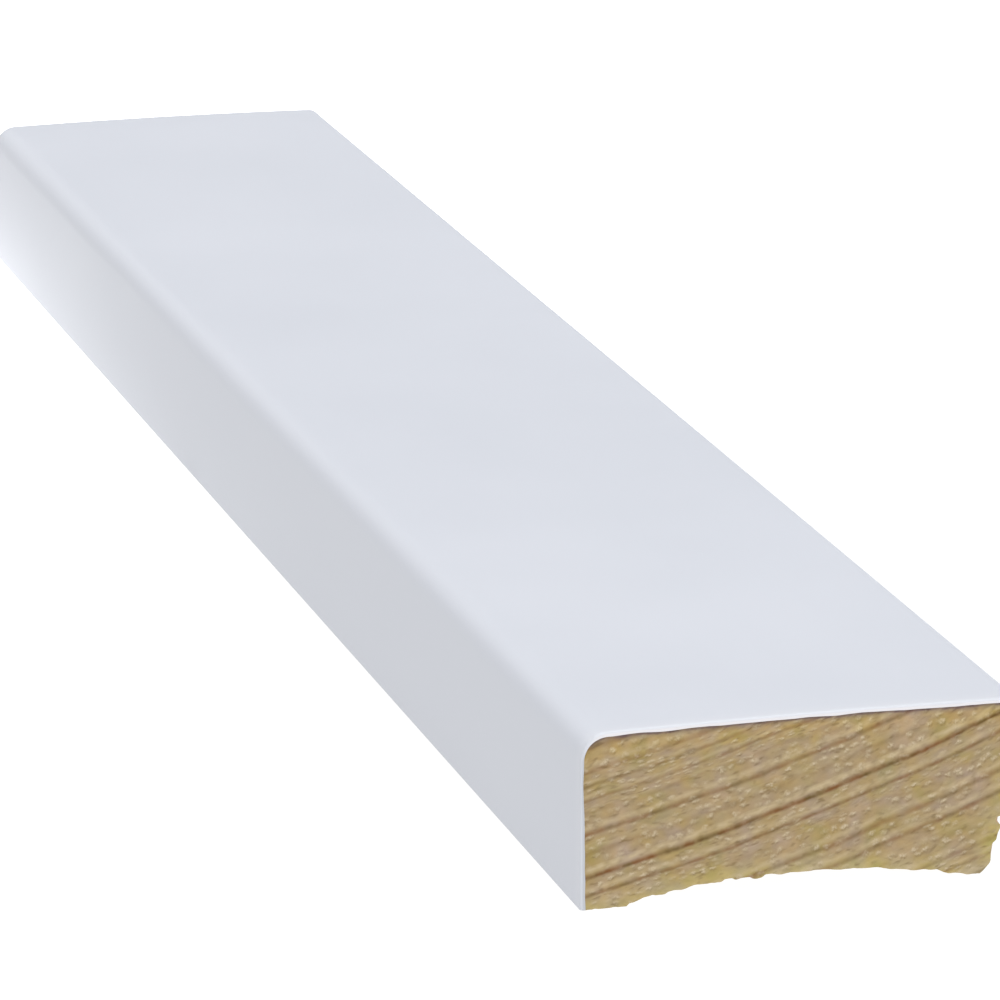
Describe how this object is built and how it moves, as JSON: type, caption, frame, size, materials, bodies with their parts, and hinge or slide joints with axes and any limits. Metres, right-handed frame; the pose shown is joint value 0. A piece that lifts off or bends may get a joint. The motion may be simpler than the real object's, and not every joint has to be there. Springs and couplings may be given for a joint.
{
  "type": "skirting board",
  "caption": "Short straight length of flat skirting board with a rounded top edge, a back-bevelled floor edge and a shallow hollow along the back.",
  "frame": {"origin": "middle of the back, in the plane of the wall that the board is fixed to", "axes": "+X along the board, +Y up the wall towards the rounded top edge, +Z out of the wall through the painted front"},
  "size_m": [0.25, 0.04, 0.016],
  "materials": {
    "painted_pine": "satin white paint on the front, the top edge and the upper part of the floor edge, bare pine on the back, the foot of the floor edge and the sawn ends"
  },
  "bodies": {
    "root": {"skirting_board": "painted_pine"}
  },
  "joints": []
}
